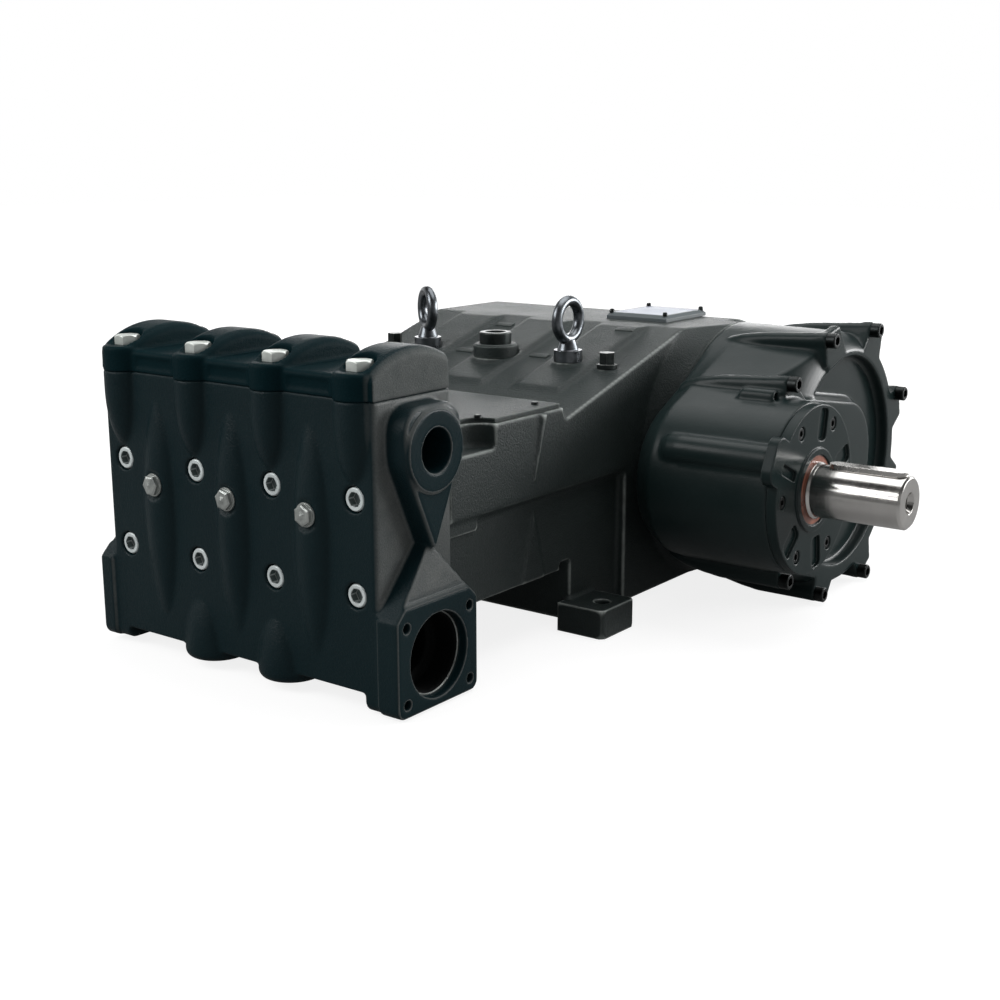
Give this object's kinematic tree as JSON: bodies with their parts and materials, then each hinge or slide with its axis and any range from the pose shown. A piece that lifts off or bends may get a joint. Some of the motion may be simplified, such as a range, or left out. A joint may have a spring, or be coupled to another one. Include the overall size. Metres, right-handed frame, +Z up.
{
  "type": "plunger pump",
  "caption": "Plunger pump with a ribbed fluid head, a cast crankcase on feet and a side gearbox with a keyed input shaft.",
  "frame": {"origin": "midway between the four foot bolts, on the base plane", "axes": "+X across the cylinders, out of the gearbox along the input shaft; +Y from the fluid head to the crankcase's rear; +Z up"},
  "size_m": [0.7685, 0.8685, 0.3729],
  "materials": {
    "head_paint": "satin",
    "case_paint": "satin, cast texture",
    "gear_paint": "semi-gloss",
    "zinc_steel": "zinc plated, satin",
    "stainless": "machined",
    "eye_steel": "dark plated, glossy",
    "fitting_dark": "satin",
    "plate_metal": "satin",
    "black_screw": "black oxide, satin",
    "seal_rubber": "smooth",
    "shaft_steel": "turned and polished",
    "key_steel": "ground"
  },
  "bodies": {
    "casing": {"fluid_head": "head_paint", "top_cover": "head_paint", "top_cover_bolts": "zinc_steel", "head_screws": "zinc_steel", "front_plugs": "stainless", "outlet_plug": "stainless", "crankcase": "case_paint", "inspection_plate": "case_paint", "eye_bolt_left": "eye_steel", "eye_bolt_right": "eye_steel", "oil_filler_neck": "case_paint", "oil_cap": "fitting_dark", "breather_plug_left": "fitting_dark", "breather_plug_right": "fitting_dark", "nameplate": "plate_metal", "gear_housing": "gear_paint", "gear_housing_screws": "black_screw", "input_flange": "gear_paint", "input_flange_screws": "black_screw", "shaft_seal": "seal_rubber", "bearing_cover": "case_paint", "bearing_cover_screws": "black_screw", "rear_cover": "case_paint", "rear_cover_screws": "zinc_steel", "oil_level_plug": "stainless", "oil_drain_plug": "stainless"},
    "shaft": {"input_shaft": "shaft_steel", "shaft_key": "key_steel"}
  },
  "joints": [
    {"name": "shaft_spin", "type": "hinge", "parent": "casing", "child": "shaft", "pos_m": [0.415, -0.0825, 0.1675], "axis": [1, 0, 0], "continuous": true}
  ]
}
